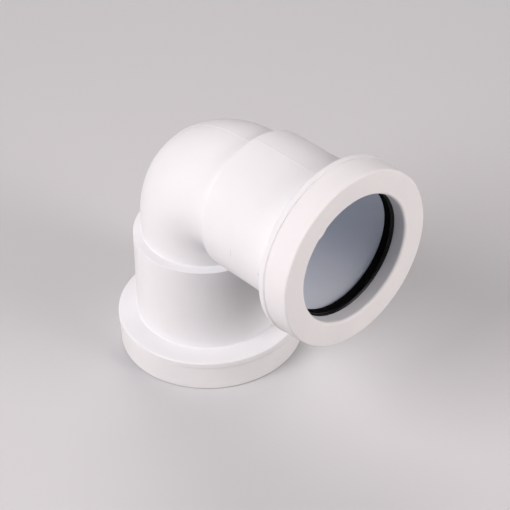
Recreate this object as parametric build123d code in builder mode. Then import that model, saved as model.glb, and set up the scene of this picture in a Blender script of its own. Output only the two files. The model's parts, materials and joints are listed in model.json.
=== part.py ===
from build123d import *
import os

# Push-fit knuckle bend for 40 mm waste pipe: one tight elbow with two sealed sockets.
# The base socket stands mouth down on z = 0 with its axis on Z, and the side socket faces +X.

# The pipe and how it fits
pipe_diameter = 41.0
entry_clearance = 0.4  # radial gap between the pipe and the cap's mouth
socket_clearance = 0.45  # radial gap between the pipe and the front of the socket wall
lip_interference = 0.3  # how far the seal's lip reaches into the pipe's radius

# The moulded bend
wall = 2.25
socket_depth = 39.4  # from the mouth to the pipe stop
socket_taper = 0.4  # radius that the socket loses from its front to the pipe stop
waterway_diameter = 35.8
ledge_rise = 0.65  # the shoulder behind each socket slopes up to the elbow by this much
straight_run = 4.5  # plain tube between the shoulder and the bend
bend_radius = 19.1  # of the bend's centreline
crotch_radius = 2.0  # softens the inside corner of the bend
crotch_inset = 0.02  # keeps the softened corner just under the tube at its ends

# The flange and the upstand that locate the cap
rim_thickness = 2.1
rim_overhang = 0.2  # the flange stands proud of the cap by this much
flange_rise = 1.3  # the flange's back slopes up to the barrel by this much
upstand_wall = 2.0

# The retaining cap
land_depth = 4.7  # length of the mouth, from its face to the seal
front_wall = 2.4
collar_wall = 2.0
skirt_wall = 2.25
cap_taper = 0.1  # radius that the cap gains from its face to its back

# The rubber seal
seal_band = 3.9  # width that shows between the cap's mouth and the socket
heel_thickness = 1.45
lip_setback = 0.5  # of the lip's tip, from the back of the seal
lip_root = 1.2  # thickness of the lip at the back of the seal

# Gaps between the pieces
fit_gap = 0.1
end_gap = 0.3

# Rounded edges
face_round = 0.6
mouth_round = 0.9
land_round = 0.2
seam_round = 0.25
lip_round = 0.25
flange_round = 0.5
rim_round = 0.3
root_round = 0.4
shoulder_round = 0.2
ledge_round = 0.25
stop_round = 0.4
rubber_round = 0.3

# Radii of the stack of pieces at each mouth, from the pipe outwards
pipe_radius = pipe_diameter / 2
land_radius = pipe_radius + entry_clearance
collar_radius = land_radius + collar_wall
heel_radius = collar_radius + fit_gap
seal_radius = heel_radius + heel_thickness
upstand_inside = seal_radius + fit_gap
upstand_outside = upstand_inside + upstand_wall
skirt_inside = upstand_outside + fit_gap
cap_face_radius = skirt_inside + skirt_wall
cap_back_radius = cap_face_radius + cap_taper
rim_radius = cap_back_radius + rim_overhang

# Distances from the mouth
cap_depth = land_depth + seal_band
rim_back = cap_depth + rim_thickness
flange_root = rim_back + flange_rise
shoulder = socket_depth + wall
ledge = shoulder + ledge_rise
bend_start = ledge + straight_run
centre_to_mouth = bend_start + bend_radius

# Radii of the bend
socket_front_radius = pipe_radius + socket_clearance
socket_stop_radius = socket_front_radius - socket_taper
waterway_radius = waterway_diameter / 2
tube_radius = waterway_radius + wall
crotch_bend_radius = max(tube_radius + crotch_radius, bend_radius)

# Each socket's section plane holds radius along its first axis and distance from the mouth along its second
side_mouth = (centre_to_mouth, 0, centre_to_mouth)
sockets = {
    "base": (Plane.XZ, Axis.Z),
    "side": (Plane(origin=side_mouth, x_dir=(0, 0, 1), z_dir=(0, -1, 0)), Axis(side_mouth, (-1, 0, 0))),
}


def barrel_radius(distance):
    """Outside of the socket's tapered barrel at a distance from the mouth."""
    taper = socket_taper / (socket_depth - cap_depth)
    return socket_front_radius + wall - taper * (distance - cap_depth)


def turned_outline(corners):
    """Closed line of a turned profile. Each corner is a radius, a distance from the mouth and a rounding."""
    FilletPolyline([corner[:2] for corner in corners], radius=[corner[2] for corner in corners], close=True)


def bend_section(radius):
    """Disc of the tube where the bend starts, cut off at the axis that the bend turns about."""
    Circle(radius)
    with Locations((bend_radius - 2 * radius, 0)):
        Rectangle(4 * radius, 4 * radius, mode=Mode.INTERSECT)


def bend_axis(radius):
    """Axis that a bend of this centreline radius turns about."""
    return Axis((radius, 0, centre_to_mouth - radius), (0, 1, 0))


# Outside of one socket: upstand, flange, tapered barrel, shoulder ledge and the tube up to the bend
upstand_front = front_wall + end_gap
socket_outside = [
    (0, upstand_front, 0),
    (upstand_outside, upstand_front, rim_round),
    (upstand_outside, cap_depth, 0),
    (rim_radius, cap_depth, lip_round),
    (rim_radius, rim_back, flange_round),
    (barrel_radius(flange_root), flange_root, root_round),
    (barrel_radius(shoulder), shoulder, shoulder_round),
    (tube_radius, ledge, ledge_round),
    (tube_radius, bend_start, 0),
    (0, bend_start, 0),
]

# Inside of one socket: seal seat, tapered wall, pipe stop and the waterway up to the bend
socket_inside = [
    (0, upstand_front, 0),
    (upstand_inside, upstand_front, 0),
    (upstand_inside, cap_depth, 0),
    (socket_front_radius, cap_depth, rim_round),
    (socket_stop_radius, socket_depth, stop_round),
    (waterway_radius, socket_depth, stop_round),
    (waterway_radius, bend_start, 0),
    (0, bend_start, 0),
]

cap_section = [
    (land_radius, 0, mouth_round),
    (cap_face_radius, 0, face_round),
    (cap_back_radius, cap_depth, seam_round),
    (skirt_inside, cap_depth, 0),
    (skirt_inside, front_wall, rim_round),
    (collar_radius, front_wall, rim_round),
    (collar_radius, land_depth, 0),
    (land_radius, land_depth, land_round),
]

seal_front = front_wall + fit_gap
seal_section = [
    (seal_radius, seal_front, rubber_round),
    (heel_radius, seal_front, rubber_round),
    (heel_radius, land_depth, 0),
    (land_radius, land_depth, 0),
    (pipe_radius - lip_interference, cap_depth - lip_setback, rubber_round),
    (pipe_radius - lip_interference + lip_root, cap_depth, 0),
    (seal_radius, cap_depth, rubber_round),
]

# Bend body
with BuildPart() as bend_body:
    for plane, axis in sockets.values():
        with BuildSketch(plane):
            with BuildLine():
                turned_outline(socket_outside)
            make_face()
        revolve(axis=axis)
    with BuildSketch(Plane.XY.offset(bend_start)):
        bend_section(tube_radius)
    revolve(axis=bend_axis(bend_radius), revolution_arc=90)
    # A wider bend of the same tube fills the sharp inside corner
    with BuildSketch(Plane.XY.offset(centre_to_mouth - crotch_bend_radius)):
        Circle(tube_radius - crotch_inset)
    revolve(axis=bend_axis(crotch_bend_radius), revolution_arc=90)
    # Waterway
    for plane, axis in sockets.values():
        with BuildSketch(plane):
            with BuildLine():
                turned_outline(socket_inside)
            make_face()
        revolve(axis=axis, mode=Mode.SUBTRACT)
    with BuildSketch(Plane.XY.offset(bend_start)):
        bend_section(waterway_radius)
    revolve(axis=bend_axis(bend_radius), revolution_arc=90, mode=Mode.SUBTRACT)

os.makedirs("parts", exist_ok=True)
bend_body.part.label = "bend_body"
export_step(bend_body.part, "parts/bend_body.step")

# Retaining cap and rubber seal of each socket
for side, (plane, axis) in sockets.items():
    with BuildPart() as retaining_cap:
        with BuildSketch(plane):
            with BuildLine():
                turned_outline(cap_section)
            make_face()
        revolve(axis=axis)
    retaining_cap.part.label = f"{side}_retaining_cap"
    export_step(retaining_cap.part, f"parts/{side}_retaining_cap.step")

    with BuildPart() as seal:
        with BuildSketch(plane):
            with BuildLine():
                turned_outline(seal_section)
            make_face()
        revolve(axis=axis)
    seal.part.label = f"{side}_seal"
    export_step(seal.part, f"parts/{side}_seal.step")
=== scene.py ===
import json
import math

import bmesh
import bpy
from mathutils import Matrix, Vector
from mathutils.bvhtree import BVHTree


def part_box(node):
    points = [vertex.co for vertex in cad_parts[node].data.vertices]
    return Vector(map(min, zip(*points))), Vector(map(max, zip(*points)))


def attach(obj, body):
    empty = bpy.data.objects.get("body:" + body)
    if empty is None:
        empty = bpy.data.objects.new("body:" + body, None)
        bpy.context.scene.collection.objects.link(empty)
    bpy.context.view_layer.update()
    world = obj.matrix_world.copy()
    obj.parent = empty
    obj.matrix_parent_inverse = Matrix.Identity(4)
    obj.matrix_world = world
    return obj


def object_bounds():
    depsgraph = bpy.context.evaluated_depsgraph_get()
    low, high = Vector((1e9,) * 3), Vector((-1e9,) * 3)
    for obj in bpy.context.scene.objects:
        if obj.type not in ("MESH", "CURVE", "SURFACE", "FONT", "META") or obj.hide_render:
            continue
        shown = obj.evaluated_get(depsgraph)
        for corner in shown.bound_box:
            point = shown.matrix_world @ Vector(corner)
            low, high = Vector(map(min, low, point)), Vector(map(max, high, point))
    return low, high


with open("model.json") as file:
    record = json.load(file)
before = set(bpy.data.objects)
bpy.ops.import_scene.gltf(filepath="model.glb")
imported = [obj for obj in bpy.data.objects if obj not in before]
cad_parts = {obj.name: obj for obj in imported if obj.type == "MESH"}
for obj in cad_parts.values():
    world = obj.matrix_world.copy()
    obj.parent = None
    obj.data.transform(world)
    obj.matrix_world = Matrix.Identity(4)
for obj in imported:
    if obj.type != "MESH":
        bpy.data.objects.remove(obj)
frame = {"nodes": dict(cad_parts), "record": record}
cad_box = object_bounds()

MM = 0.001
QUARTER_TURN = math.pi / 2
nodes = frame["nodes"]
mounts = {mount["name"]: mount for mount in frame["record"]["mounts"]}
scene = bpy.context.scene

# Sizes of the bend in millimetres, from the frame or else as in the part's source
CENTRE_TO_MOUTH = cad_box[1].x / MM
BEND_START = 46.8
BEND_RADIUS = CENTRE_TO_MOUTH - BEND_START
LAND_RADIUS = mounts["base_socket"]["dims"]["r_mm"]
LAND_DEPTH = 4.7
MOUTH_ROUND = 0.9
CAP_BACK_RADIUS = 29.0
CAP_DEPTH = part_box("base_retaining_cap")[1].z / MM

# A wall inside the body, which gets the bluish white of painted shade, is nearer its centreline than these,
# in millimetres:
# the socket's limit as far as the socket's end, and the tube's limit past it
SOCKET_LIMIT = 21.4
SOCKET_END = 41.0
TUBE_LIMIT = 19.0

# Edges of the small details go this far under the surface that they lie on, in millimetres
EDGE_SINK = 0.03

# Parting ridge along the crest of the bend, in millimetres
RIDGE_WIDTH = 0.5
RIDGE_HEIGHT = 0.12
# Corners of its section as shares of its width and height
RIDGE_SECTION = [(-0.5, 0.0), (-0.25, 0.75), (0.0, 1.0), (0.25, 0.75), (0.5, 0.0)]
# Distance from the mouth, and the share of its height that the ridge has there
RIDGE_SHARES = [
    (12.6, 0.0), (18.0, 0.5), (33.0, 0.7), (39.0, 0.2), (43.0, 0.3), (46.0, 1.0), (BEND_START, 1.0),
]
STRAIGHT_STEPS = 140
TURN_STEPS = 60
# The crest is looked for from this far outside, and just off the middle plane, where the mesh has edges
RAY_REACH = 60.0
RAY_OFFSET = 0.02

# Broken-off gate on the mouth of each cap: angle of its middle round the mouth and angle that it spans, in
# degrees, and its height in millimetres
GATE_ANGLES = {"base": 150.0, "side": 37.8}
GATE_SPAN = 9.0
GATE_HEIGHT = 0.42
# Stretch of the mouth's section that it covers, from the end of the flat face inwards, in millimetres
GATE_FROM = 0.45
GATE_LENGTH = 2.0
# How steeply it rises at its sides, its front and its back
GATE_SLOPES = (6.0, 4.5, 3.0)
# Share of its height that waves tear away, how close they are across it and along it, and where they start
TEAR_DEPTH = 0.14
TEAR_WAVES = (5.0, 2.6)
TEAR_PHASE = 1.3
# Points across it and along it
GATE_ROWS = 33
GATE_COLUMNS = 25

# Weld bead in the seam of each cap, full at one angle (in degrees) and thin away from it, sooner with a
# higher fade. The corners of both sections are millimetres outwards and backwards from the cap's back edge.
WELD_THIN = [(-0.40, -0.15), (-0.10, -0.06), (-0.08, -0.03), (-0.05, 0.00), (0.00, 0.02), (-0.30, 0.15)]
WELD_FULL = [(-0.40, -0.25), (-0.02, -0.34), (0.04, -0.14), (0.10, 0.04), (0.18, 0.23), (-0.30, 0.25)]
WELD_FULLEST = {"base": 0.0, "side": 95.0}
WELD_FADE = 4

# Bead at the front of each seal. The corners of its section are millimetres outwards and backwards from the
# end of the cap's land, which is the straight part of its mouth.
SEAL_BEAD = [
    (0.05, 1.30), (-0.30, 1.25), (-0.46, 0.60), (-0.46, 0.44), (-0.40, 0.32), (-0.04, 0.05), (0.02, 0.03),
]
# Sections of each bead round its socket
RING_STEPS = 240

# Whites of the mouldings and blacks of the rubber: the darker and the lighter end of their mottling
BODY_WHITES = ((0.786, 0.823, 0.862), (0.808, 0.845, 0.882))
# The bore's whites are painted shade: the moulding's white tinted blue for the shade inside the bend
BORE_PAINTED_SHADE_WHITES = ((0.784, 0.846, 0.938), (0.804, 0.866, 0.958))
CAP_WHITES = ((0.784, 0.811, 0.842), (0.806, 0.833, 0.862))
RUBBER_BLACKS = ((0.0010, 0.0010, 0.0011), (0.0026, 0.0026, 0.0027))

# Small spots on the bend where its colour is darkened: place and half-sizes in millimetres, and how dark they
# are
DARK_SPOT_COLOUR = (0.30, 0.29, 0.30)
DARK_SPOTS = [
    ((36.8, -22.76, 65.3), (0.24, 0.8, 1.7), 0.22),
    ((48.5, -22.75, 63.9), (0.35, 0.8, 0.75), 0.30),
    ((27.6, -22.55, 69.2), (0.45, 0.8, 0.45), 0.08),
]

# Plain floor and background. The floor fades into the background between two distances from the origin.
BACKGROUND_COLOUR = (0.58, 0.58, 0.59)
FLOOR_COLOUR = (0.58, 0.61, 0.635)
FLOOR_BOUNCE_COLOUR = (0.32, 0.32, 0.32)
FLOOR_FADE = (0.12, 0.50)
FLOOR_SIZE = 6.0

# Studio lamps: azimuth from +X and elevation that they shine from, in degrees, then size, power and colour
LAMP_AIM = Vector((0.018, 0.0, 0.045))
LAMP_DISTANCE = 0.70
WARM = (1.0, 0.900, 0.883)
WARMER = (1.0, 0.888, 0.852)
LAMPS = {
    "left_lamp": ((-125, 12), 0.45, 1.00, WARM),
    "front_left_lamp": ((-100, 12), 0.45, 1.42, WARM),
    "key_lamp": ((-100, 42), 0.45, 3.37, WARM),
    "low_right_lamp": ((14, 10), 0.25, 1.08, WARMER),
    "right_lamp": ((12, 25), 0.30, 1.98, WARMER),
    "mouth_lamp": ((25, 42), 0.45, 0.50, WARMER),
    "back_right_lamp": ((93, 42), 0.45, 0.43, WARM),
    "back_lamp": ((138, 42), 0.45, 1.69, WARM),
}

# Camera that matches the photograph: azimuth from +X, elevation and roll in degrees, then places in metres
CAMERA_DIRECTION = (-42.054, 39.014)
CAMERA_ROLL = -2.607
CAMERA_AIM = Vector((0.01314, 0.0, 0.02774))
CAMERA_DISTANCE = 0.922311
CAMERA_SLIDE_RIGHT = 0.005621
CAMERA_SLIDE_UP = 0.0078548
CAMERA_FAR_LIMIT = 20.0
CAMERA_LENS_MM = 209.33
CAMERA_SENSOR_MM = 36.0


def direction(azimuth, elevation):
    """Unit vector for an azimuth from +X and an elevation, both in degrees."""
    turned = math.radians(azimuth)
    raised = math.radians(elevation)
    level = math.cos(raised)
    return Vector((level * math.cos(turned), level * math.sin(turned), math.sin(raised)))


def new_material(name):
    """Node material that holds a Principled shader, with its node tree and that shader."""
    material = bpy.data.materials.new(name)
    material.use_nodes = True
    tree = material.node_tree
    tree.nodes.clear()
    output = tree.nodes.new("ShaderNodeOutputMaterial")
    shader = tree.nodes.new("ShaderNodeBsdfPrincipled")
    tree.links.new(shader.outputs["BSDF"], output.inputs["Surface"])
    return material, tree, shader


def object_coordinates(tree):
    """Place on the object, in metres."""
    return tree.nodes.new("ShaderNodeTexCoord").outputs["Object"]


def add_noise(tree, place, scale, detail=2.0):
    """Noise in object space. Scale counts features per metre."""
    noise = tree.nodes.new("ShaderNodeTexNoise")
    noise.inputs["Scale"].default_value = scale
    noise.inputs["Detail"].default_value = detail
    tree.links.new(place, noise.inputs["Vector"])
    return noise.outputs["Fac"]


def add_range(tree, value, low, high, from_low=0.3, from_high=0.7):
    """Value stretched from its usual range, which is noise's unless given, to the wanted one."""
    node = tree.nodes.new("ShaderNodeMapRange")
    node.inputs["From Min"].default_value = from_low
    node.inputs["From Max"].default_value = from_high
    node.inputs["To Min"].default_value = low
    node.inputs["To Max"].default_value = high
    tree.links.new(value, node.inputs["Value"])
    return node.outputs["Result"]


def add_ramp(tree, value, colours, low, high):
    """Colour that goes from the first to the second as the value goes from low to high."""
    ramp = tree.nodes.new("ShaderNodeValToRGB")
    for element, position, colour in zip(ramp.color_ramp.elements, (low, high), colours):
        element.position = position
        element.color = (*colour, 1.0)
    tree.links.new(value, ramp.inputs["Fac"])
    return ramp.outputs["Color"]


def add_bump(tree, height, depth, below=None):
    """Bump of a depth in metres, on top of another bump where one is given."""
    bump = tree.nodes.new("ShaderNodeBump")
    bump.inputs["Distance"].default_value = depth
    tree.links.new(height, bump.inputs["Height"])
    if below is not None:
        tree.links.new(below, bump.inputs["Normal"])
    return bump.outputs["Normal"]


def add_dark_spot(tree, place, colour, centre, size, darkness):
    """Colour darkened at one small spot."""
    spread = tree.nodes.new("ShaderNodeMapping")
    spread.vector_type = "TEXTURE"
    spread.inputs["Location"].default_value = Vector(centre) * MM
    spread.inputs["Scale"].default_value = Vector(size) * MM
    tree.links.new(place, spread.inputs["Vector"])
    spot = tree.nodes.new("ShaderNodeTexGradient")
    spot.gradient_type = "SPHERICAL"
    tree.links.new(spread.outputs["Vector"], spot.inputs["Vector"])
    mix = tree.nodes.new("ShaderNodeMix")
    mix.data_type = "RGBA"
    share = add_range(tree, spot.outputs["Fac"], low=0.0, high=darkness, from_low=0.0, from_high=0.5)
    # A Mix node has sockets of one name for each kind of data, and the ones for colours are 6, 7 and 2
    tree.links.new(share, mix.inputs["Factor"])
    tree.links.new(colour, mix.inputs[6])
    mix.inputs[7].default_value = (*DARK_SPOT_COLOUR, 1.0)
    return mix.outputs[2]


def make_polypropylene(name, whites, dark_spots=()):
    """White satin polypropylene with soft mottling and a fine moulded grain."""
    material, tree, shader = new_material(name)
    place = object_coordinates(tree)
    mottle = add_noise(tree, place, scale=70, detail=3)
    colour = add_ramp(tree, mottle, whites, low=0.30, high=0.70)
    for dark_spot in dark_spots:
        colour = add_dark_spot(tree, place, colour, *dark_spot)
    tree.links.new(colour, shader.inputs["Base Color"])
    patches = add_noise(tree, place, scale=260, detail=4)
    tree.links.new(add_range(tree, patches, low=0.56, high=0.70), shader.inputs["Roughness"])
    waves = add_bump(tree, add_noise(tree, place, scale=110), depth=0.00006)
    grain = add_bump(tree, add_noise(tree, place, scale=2600, detail=3), depth=0.000018, below=waves)
    tree.links.new(grain, shader.inputs["Normal"])
    shader.inputs["IOR"].default_value = 1.49
    shader.inputs["Subsurface Weight"].default_value = 0.12
    shader.inputs["Subsurface Radius"].default_value = (1.0, 0.9, 0.85)
    shader.inputs["Subsurface Scale"].default_value = 0.0012
    return material


def make_rubber(name, smoothest, roughest, shine):
    """Black moulded rubber with a faint bloom and fine grain."""
    material, tree, shader = new_material(name)
    place = object_coordinates(tree)
    bloom = add_noise(tree, place, scale=180, detail=4)
    colour = add_ramp(tree, bloom, RUBBER_BLACKS, low=0.35, high=0.75)
    tree.links.new(colour, shader.inputs["Base Color"])
    tree.links.new(add_range(tree, bloom, smoothest, roughest), shader.inputs["Roughness"])
    grain = add_bump(tree, add_noise(tree, place, scale=2200, detail=3), depth=0.00002)
    tree.links.new(grain, shader.inputs["Normal"])
    shader.inputs["IOR"].default_value = 1.50
    shader.inputs["Specular IOR Level"].default_value = shine
    return material


def make_floor_paint():
    """Pale plain floor that fades into the background far from the part.

    Its bounce on the part is kept lower than its colour, because the photograph's table is dark.
    """
    material, tree, shader = new_material("pale_floor")
    shader.inputs["Roughness"].default_value = 0.6
    seen = tree.nodes.new("ShaderNodeLightPath").outputs["Is Camera Ray"]
    colour = add_ramp(tree, seen, (FLOOR_BOUNCE_COLOUR, FLOOR_COLOUR), low=0.0, high=1.0)
    tree.links.new(colour, shader.inputs["Base Color"])
    reach = tree.nodes.new("ShaderNodeVectorMath")
    reach.operation = "LENGTH"
    tree.links.new(object_coordinates(tree), reach.inputs[0])
    fade_start, fade_end = FLOOR_FADE
    far = add_range(tree, reach.outputs["Value"], 0.0, 1.0, from_low=fade_start, from_high=fade_end)
    far_and_seen = tree.nodes.new("ShaderNodeMath")
    far_and_seen.operation = "MULTIPLY"
    tree.links.new(far, far_and_seen.inputs[0])
    tree.links.new(seen, far_and_seen.inputs[1])
    glow = tree.nodes.new("ShaderNodeEmission")
    glow.inputs["Color"].default_value = (*BACKGROUND_COLOUR, 1.0)
    blend = tree.nodes.new("ShaderNodeMixShader")
    tree.links.new(far_and_seen.outputs["Value"], blend.inputs["Fac"])
    tree.links.new(shader.outputs["BSDF"], blend.inputs[1])
    tree.links.new(glow.outputs["Emission"], blend.inputs[2])
    tree.links.new(blend.outputs["Shader"], tree.nodes["Material Output"].inputs["Surface"])
    return material


def is_inside(point):
    """Whether a point of the body's surface, in millimetres, is on a wall inside it, where the painted shade
    goes.
    """
    x, y, z = point
    base = (z, math.hypot(x, y))
    side = (CENTRE_TO_MOUTH - x, math.hypot(y, z - CENTRE_TO_MOUTH))
    for depth, radius in (base, side):
        limit = SOCKET_LIMIT if depth < SOCKET_END else TUBE_LIMIT
        if depth < BEND_START and radius < limit:
            return True
    in_bend = min(base[0], side[0]) >= BEND_START
    off_centreline = math.hypot(x - BEND_RADIUS, z - BEND_START) - BEND_RADIUS
    return in_bend and math.hypot(off_centreline, y) < TUBE_LIMIT


def on_socket(socket, radius, depth, angle):
    """Point on a socket, in metres, from a radius and a distance from the mouth in millimetres.

    The angle turns towards -Y, from +X on the base socket and from +Z on the side one.
    """
    along = radius * math.cos(angle)
    across = -radius * math.sin(angle)
    if socket == "base":
        return Vector((along, across, depth)) * MM
    return Vector((CENTRE_TO_MOUTH - depth, across, CENTRE_TO_MOUTH + along)) * MM


def grid_faces(rows, columns):
    """Faces of a grid of points that are listed row by row."""
    faces = []
    for row in range(rows - 1):
        for corner in range(row * columns, (row + 1) * columns - 1):
            faces.append((corner, corner + columns, corner + columns + 1, corner + 1))
    return faces


def add_mesh(name, vertices, faces, material):
    """New smooth-shaded piece that rides on the bend."""
    mesh = bpy.data.meshes.new(name)
    mesh.from_pydata(vertices, [], faces)
    mesh.polygons.foreach_set("use_smooth", [True] * len(mesh.polygons))
    mesh.materials.append(material)
    piece = bpy.data.objects.new(name, mesh)
    scene.collection.objects.link(piece)
    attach(piece, "root")


def add_ring(name, socket, edge, sections, material):
    """Ring round a socket through equally spaced closed sections, set out from an edge's radius and depth."""
    edge_radius, edge_depth = edge
    vertices, faces = [], []
    for step, section in enumerate(sections):
        angle = math.tau * step / len(sections)
        here = step * len(section)
        ahead = (step + 1) % len(sections) * len(section)
        for corner, (outwards, backwards) in enumerate(section):
            following = (corner + 1) % len(section)
            vertices.append(on_socket(socket, edge_radius + outwards, edge_depth + backwards, angle))
            faces.append((here + corner, here + following, ahead + following, ahead + corner))
    add_mesh(name, vertices, faces, material)


def weld_sections(fullest):
    """Sections of a weld bead round its socket, full at one angle and thin away from it."""
    sections = []
    for step in range(RING_STEPS):
        angle = math.tau * step / RING_STEPS - math.radians(fullest)
        fill = max(0.0, math.cos(angle)) ** WELD_FADE
        sections.append([Vector(thin).lerp(full, fill) for thin, full in zip(WELD_THIN, WELD_FULL)])
    return sections


def surface_of(node):
    """Search tree over a CAD node's surface."""
    copy = bmesh.new()
    copy.from_mesh(nodes[node].data)
    tree = BVHTree.FromBMesh(copy)
    copy.free()
    return tree


def ridge_share(distance):
    """Share of the parting ridge's height at a distance from the mouth."""
    for (near, low), (far, high) in zip(RIDGE_SHARES, RIDGE_SHARES[1:]):
        if distance <= far:
            return low + (high - low) * (distance - near) / (far - near)
    return RIDGE_SHARES[-1][1]


def ridge_stations():
    """Places along the bend: X and Z in its middle plane, the way out to the crest and the ridge's share."""
    start = RIDGE_SHARES[0][0]
    depths = [start + (BEND_START - start) * step / STRAIGHT_STEPS for step in range(STRAIGHT_STEPS + 1)]
    stations = []
    for depth in depths:
        stations.append(((0.0, depth), (-1.0, 0.0), ridge_share(depth)))
    for step in range(1, TURN_STEPS):
        angle = math.pi - QUARTER_TURN * step / TURN_STEPS
        stations.append(((BEND_RADIUS, BEND_START), (math.cos(angle), math.sin(angle)), 1.0))
    for depth in reversed(depths):
        stations.append(((CENTRE_TO_MOUTH - depth, CENTRE_TO_MOUTH), (0.0, 1.0), ridge_share(depth)))
    return stations


def add_parting_ridge(material):
    """Fine line of flash along the crest, from the back of one flange to the back of the other."""
    body = surface_of("bend_body")
    stations = ridge_stations()
    vertices = []
    for (x, z), (out_x, out_z), share in stations:
        outwards = Vector((out_x, 0.0, out_z))
        start = Vector((x, RAY_OFFSET, z)) + outwards * RAY_REACH
        crest = body.ray_cast(start * MM, -outwards)[0]
        for across, height in RIDGE_SECTION:
            rise = RIDGE_HEIGHT * height * share if height > 0 else -EDGE_SINK
            point = crest + outwards * rise * MM
            vertices.append((point.x, across * RIDGE_WIDTH * MM, point.z))
    faces = grid_faces(len(stations), len(RIDGE_SECTION))
    add_mesh("parting_ridge", vertices, faces, material)


def gate_point(socket, middle, place, share):
    """Point of a gate mark, from its place across the mark (-1 to 1) and the share of its length."""
    along = GATE_FROM + GATE_LENGTH * share
    bend = min(along / MOUTH_ROUND, QUARTER_TURN)
    outwards, backwards = -math.sin(bend), -math.cos(bend)
    side_slope, front_slope, back_slope = GATE_SLOPES
    fade = min(1.0, side_slope * (1 - abs(place)), front_slope * share, back_slope * (1 - share))
    waves = math.sin(TEAR_WAVES[0] * place + TEAR_PHASE) * math.sin(TEAR_WAVES[1] * along)
    rise = GATE_HEIGHT * fade * (1 - TEAR_DEPTH + TEAR_DEPTH * waves) - EDGE_SINK
    # The rounded edge is followed first, and then the straight land behind it
    radius = LAND_RADIUS + MOUTH_ROUND + outwards * (MOUTH_ROUND + rise)
    depth = MOUTH_ROUND + backwards * (MOUTH_ROUND + rise) + max(0.0, along - MOUTH_ROUND * QUARTER_TURN)
    return on_socket(socket, radius, depth, math.radians(middle + place * GATE_SPAN / 2))


def add_gate_mark(socket, middle, material):
    """Low torn patch where the gate was broken off, on the rounded edge of a mouth."""
    vertices = []
    for row in range(GATE_ROWS):
        place = 2 * row / (GATE_ROWS - 1) - 1
        for column in range(GATE_COLUMNS):
            vertices.append(gate_point(socket, middle, place, column / (GATE_COLUMNS - 1)))
    faces = grid_faces(GATE_ROWS, GATE_COLUMNS)
    add_mesh(f"{socket}_gate_mark", vertices, faces, material)


def add_lamp(name, place, size, power, colour):
    """Round soft lamp that points at the part and isn't seen itself."""
    lamp = bpy.data.lights.new(name, "AREA")
    lamp.shape = "DISK"
    lamp.size = size
    lamp.energy = power
    lamp.color = colour
    holder = bpy.data.objects.new(name, lamp)
    holder.location = LAMP_AIM + direction(*place) * LAMP_DISTANCE
    holder.rotation_euler = (holder.location - LAMP_AIM).to_track_quat("Z", "Y").to_euler()
    holder.visible_camera = False
    scene.collection.objects.link(holder)


def add_camera():
    """Camera at the photograph's viewing angle."""
    back = direction(*CAMERA_DIRECTION)
    level = Vector((0.0, 0.0, 1.0)).cross(back).normalized()
    upright = back.cross(level)
    roll = math.radians(CAMERA_ROLL)
    right = level * math.cos(roll) + upright * math.sin(roll)
    up = upright * math.cos(roll) - level * math.sin(roll)
    spot = CAMERA_AIM + back * CAMERA_DISTANCE + right * CAMERA_SLIDE_RIGHT + up * CAMERA_SLIDE_UP
    camera = bpy.data.cameras.new("photo_camera")
    camera.lens = CAMERA_LENS_MM
    camera.sensor_width = CAMERA_SENSOR_MM
    camera.clip_end = CAMERA_FAR_LIMIT
    viewer = bpy.data.objects.new("photo_camera", camera)
    viewer.matrix_world = Matrix.Translation(spot) @ Matrix((right, up, back)).transposed().to_4x4()
    scene.collection.objects.link(viewer)
    scene.camera = viewer


# Materials of the CAD nodes
body_white = make_polypropylene("body_polypropylene", BODY_WHITES, DARK_SPOTS)
bore_painted_shade_white = make_polypropylene("bore_painted_shade_polypropylene", BORE_PAINTED_SHADE_WHITES)
cap_white = make_polypropylene("cap_polypropylene", CAP_WHITES)
rubber = make_rubber("black_seal_rubber", smoothest=0.70, roughest=0.86, shine=0.08)
shiny_rubber = make_rubber("shiny_seal_rubber", smoothest=0.36, roughest=0.46, shine=0.25)
node_materials = {"body": body_white, "cap": cap_white, "seal": rubber}
for name, node in nodes.items():
    kind = name.split("_")[-1]
    node.data.materials.clear()
    node.data.materials.append(node_materials[kind])

# The walls inside the bend are a cooler white: painted shade, the moulding's white tinted blue as the shaded
# inside of the bend looks
moulding = nodes["bend_body"].data
moulding.materials.append(bore_painted_shade_white)
for face in moulding.polygons:
    face.material_index = int(is_inside(face.center / MM))

# Small details
add_parting_ridge(body_white)
cap_back = (CAP_BACK_RADIUS, CAP_DEPTH)
land_end = (LAND_RADIUS, LAND_DEPTH)
for socket, fullest in WELD_FULLEST.items():
    add_ring(f"{socket}_weld_bead", socket, cap_back, weld_sections(fullest), body_white)
    add_ring(f"{socket}_seal_bead", socket, land_end, [SEAL_BEAD] * RING_STEPS, shiny_rubber)
for socket, middle in GATE_ANGLES.items():
    add_gate_mark(socket, middle, cap_white)

# Floor
bpy.ops.mesh.primitive_plane_add(size=FLOOR_SIZE, location=(0, 0, 0))
floor = bpy.context.object
floor.name = "floor"
floor.data.materials.append(make_floor_paint())

# Lamps
for name, settings in LAMPS.items():
    add_lamp(name, *settings)

# World that the camera sees and that gives no light
world = bpy.data.worlds.new("studio")
world.use_nodes = True
background = world.node_tree.nodes["Background"]
background.inputs["Color"].default_value = (*BACKGROUND_COLOUR, 1.0)
seen = world.node_tree.nodes.new("ShaderNodeLightPath").outputs["Is Camera Ray"]
world.node_tree.links.new(seen, background.inputs["Strength"])
scene.world = world

add_camera()
scene.view_settings.view_transform = "Standard"
